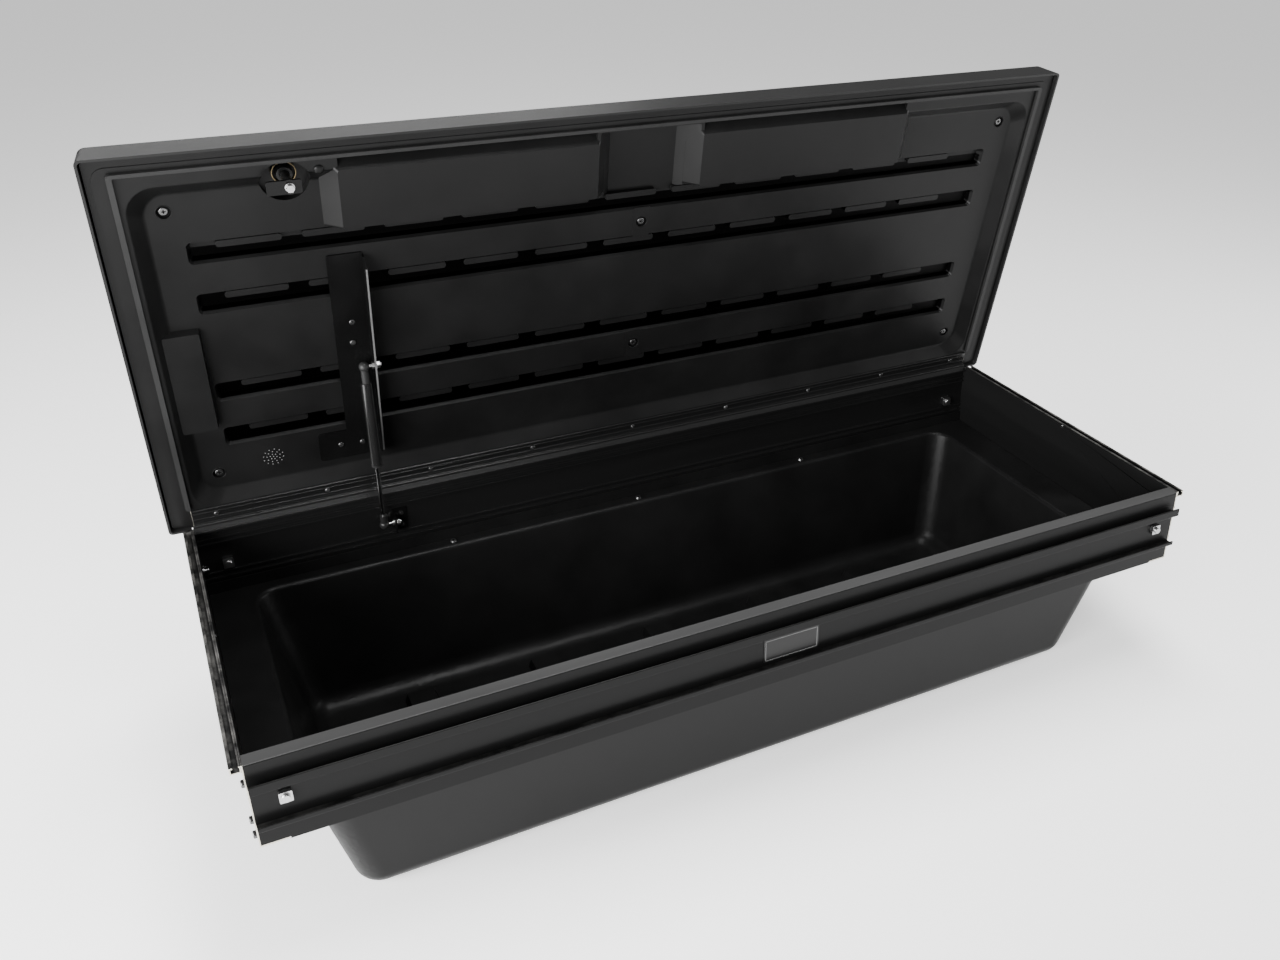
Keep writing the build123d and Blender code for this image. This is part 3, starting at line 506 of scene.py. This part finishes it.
# Each liner screw gets a dark ring, a painted shade for the shadow in its recess, and a raised rim of liner
# plastic.
SEAT_SHADE_PROFILE = [(6.3, -2.4), (9.3, -2.4), (9.3, -0.6), (8.1, -1.7), (6.3, -1.7)]
SEAT_RIM_PROFILE = [(9.3, 0.8), (9.3, 1.5), (10.2, 1.7), (10.8, 1.1)]

drive_recess_shade("liner_screw_drive_shade", "liner_screws", lambda points: INTO_LID, "lid", 3.0)
seat_shades = Shapes()
seat_rims = Shapes()
for points in loose_parts("liner_screws"):
    head = end_centre(points, INTO_LID)
    seat_shades.turn(head, INTO_LID, SEAT_SHADE_PROFILE, 40, closed=True)
    seat_rims.turn(head, INTO_LID, SEAT_RIM_PROFILE, 40, closed=True)
seat_shades.make("liner_screw_seat_shade", painted_recess_shade, "lid", smooth=True)
seat_rims.make("liner_screw_seat_rims", liner_plastic, "lid", smooth=True)

drive_recess_shade("corner_screw_drive_shade", "corner_screws", sideways, "frame", 2.6)
drive_recess_shade("tub_screw_drive_shade", "tub_screws", lambda points: UP, "frame", 2.8)
rivet_eyes("hinge_rivet", "hinge_rivets", INTO_LID, "lid", 1.2)
rivet_eyes("lid_bracket_rivet", "lid_bracket_rivets", INTO_LID, "lid", 1.4)
rivet_eyes("lower_bracket_rivet", "lower_bracket_rivets", FRONTWARD, "frame", 1.2)

THREAD_PITCH = 1.25
THREAD_ROOT = 4.9
THREAD_CREST = 5.4
THREAD_TURNS = 3
THREAD_START = 0.3

threads = Shapes()
for points in loose_parts("mounting_bolts"):
    tip = end_centre(points, FRONTWARD)
    for turn_index in range(THREAD_TURNS):
        top = -THREAD_START - turn_index * THREAD_PITCH
        ridge = [
            (THREAD_ROOT, top), (THREAD_CREST, top - 0.5),
            (THREAD_CREST, top - 0.65), (THREAD_ROOT, top - 1.15),
        ]
        threads.turn(tip, FRONTWARD, ridge, 32, closed=True)
threads.make("mounting_bolt_threads", bright_steel, "frame", smooth=True)

MARK_X, MARK_RISE, PANEL_HEIGHT = -611, 90, 25
MARK_RINGS = ((0, 1), (5, 6), (10, 9), (15, 12))
DOT_PROFILE = [(0.8, -0.3), (0.8, 0.25), (0.4, 0.45)]

mark = Shapes()
for ring_radius, dots in MARK_RINGS:
    for dot in range(dots):
        angle = 2 * math.pi * dot / dots + ring_radius
        along, up = ring_radius * math.cos(angle), ring_radius * math.sin(angle)
        place = on_lid(MARK_X + along, MARK_RISE + up, PANEL_HEIGHT)
        mark.turn(place, INTO_LID, DOT_PROFILE, 12)
mark.make("liner_mould_mark", line_grey, "lid", smooth=True)

BOSS_X, BOSS_RISE, BORDER_HEIGHT = -493, 583, 6
BOSS_PROFILE = [(7.0, -0.5), (6.6, 1.5), (5.0, 2.8), (2.5, 3.4)]

boss = Shapes()
boss.turn(on_lid(BOSS_X, BOSS_RISE, BORDER_HEIGHT), INTO_LID, BOSS_PROFILE, 32)
boss.make("liner_boss", liner_plastic, "lid", smooth=True)

CRIMPS = ((163, 0.35), (166.5, 0.35), (171, 0.25))
CYLINDER_RADIUS = 8.5
CRIMP_ROOT = 8.2

strut_axis = (LOWER_BALL - UPPER_BALL).normalized()
crimp = Shapes()
for distance, proud in CRIMPS:
    crest = CYLINDER_RADIUS + proud
    bead = [(CRIMP_ROOT, -0.8), (crest, -0.4), (crest, 0.4), (CRIMP_ROOT, 0.8)]
    crimp.turn(UPPER_BALL + strut_axis * distance * MM, strut_axis, bead, 40, closed=True)
crimp.make("strut_cylinder_crimps", strut_black, "strut_tube", smooth=True)

BORDER_INSET = 3
LINE_HALF = 0.35
LINE_PROUD = 0.12

badge_low, badge_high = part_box("badge_plate")
badge_middle = (badge_low + badge_high) / 2
badge_middle.y = badge_low.y
half_wide = (badge_high.x - badge_low.x) / 2 / MM - BORDER_INSET
half_tall = (badge_high.z - badge_low.z) / 2 / MM - BORDER_INSET
border = Shapes()
for side in (-1, 1):
    border.block(badge_middle + UP * side * half_tall * MM, half_wide, LINE_PROUD, LINE_HALF)
    border.block(badge_middle + RIGHT * side * half_wide * MM, LINE_HALF, LINE_PROUD, half_tall)
border.make("badge_border", line_grey, "frame")

WEB_TIP_PLACE = Vector((-0.748, 0.288, 0.281))
WEB_TIP_PROFILE = [(4.6, -0.1), (4.6, 2.2), (2.4, 2.4), (2.4, 8), (1.4, 9)]

web_tip = Shapes()
web_tip.turn(WEB_TIP_PLACE, RIGHT, WEB_TIP_PROFILE, 24)
web_tip.make("left_web_screw_tip", bright_steel, "frame")

# ---------------------------------------------------------------- floor, light and camera

# The floor's half width in metres.
FLOOR_REACH = 40
FLOOR_DROP = 0.5 * MM
FLOOR_TONE = 0.93
FLOOR_ROUGH = 0.9
FLOOR_GLOW = 0.6
SKY_LIGHT = 0.25
WHITE = (1, 1, 1, 1)

floor_mesh = bpy.data.meshes.new("floor")
floor_mesh.from_pydata(
    [(-FLOOR_REACH, -FLOOR_REACH, 0), (FLOOR_REACH, -FLOOR_REACH, 0),
     (FLOOR_REACH, FLOOR_REACH, 0), (-FLOOR_REACH, FLOOR_REACH, 0)],
    [], [(0, 1, 2, 3)],
)
floor = bpy.data.objects.new("floor", floor_mesh)
floor.location.z = cad_box[0][2] - FLOOR_DROP
bpy.context.scene.collection.objects.link(floor)
floor_finish, floor_shader = new_material("floor")
floor_shader.inputs["Base Color"].default_value = grey(FLOOR_TONE)
floor_shader.inputs["Roughness"].default_value = FLOOR_ROUGH
floor_shader.inputs["Specular IOR Level"].default_value = 0.0
floor_shader.inputs["Emission Color"].default_value = WHITE
floor_shader.inputs["Emission Strength"].default_value = FLOOR_GLOW
floor_mesh.materials.append(floor_finish)

world = bpy.data.worlds.new("studio")
world.use_nodes = True
sky = world.node_tree.nodes["Background"]
sky.inputs["Color"].default_value = WHITE
sky.inputs["Strength"].default_value = SKY_LIGHT
bpy.context.scene.world = world


def softbox(name, place, target, width, height, watts):
    """A rectangular area light aimed at a point."""
    data = bpy.data.lights.new(name, "AREA")
    data.shape = "RECTANGLE"
    data.size = width
    data.size_y = height
    data.energy = watts
    light = bpy.data.objects.new(name, data)
    light.location = place
    light.rotation_euler = (Vector(target) - Vector(place)).to_track_quat("-Z", "Y").to_euler()
    bpy.context.scene.collection.objects.link(light)


softbox("overhead", (0.2, 0.0, 3.2), (0, 0.05, 0.2), width=2.4, height=1.0, watts=160)
softbox("behind", (-0.3, 2.4, 2.2), (0, 0.4, 0.9), width=2.6, height=0.8, watts=18)
softbox("left", (-2.7, -1.2, 1.0), (0, 0, 0.4), width=3.0, height=1.7, watts=380)
softbox("right", (3.0, -0.9, 0.9), (0.3, 0.1, 0.5), width=1.6, height=1.2, watts=60)

VIEW_PLACE = Vector((-724.5, -1541.6, 1346.8)) * MM
VIEW_TURN = 28.07
VIEW_DOWN = 27.75
VIEW_ROLL = 0.98
FILM_WIDTH = 36
FOCAL_LENGTH = 33.56
VIEW_SHIFT = (-0.0894, -0.0173)
FAR_LIMIT = 50

camera_data = bpy.data.cameras.new("camera")
camera_data.sensor_width = FILM_WIDTH
camera_data.lens = FOCAL_LENGTH
camera_data.shift_x, camera_data.shift_y = VIEW_SHIFT
camera_data.clip_end = FAR_LIMIT
camera = bpy.data.objects.new("camera", camera_data)
camera.matrix_world = (
    Matrix.Translation(VIEW_PLACE)
    @ Matrix.Rotation(math.radians(-VIEW_TURN), 4, "Z")
    @ Matrix.Rotation(math.radians(90 - VIEW_DOWN), 4, "X")
    @ Matrix.Rotation(math.radians(VIEW_ROLL), 4, "Z")
)
bpy.context.scene.collection.objects.link(camera)
bpy.context.scene.camera = camera
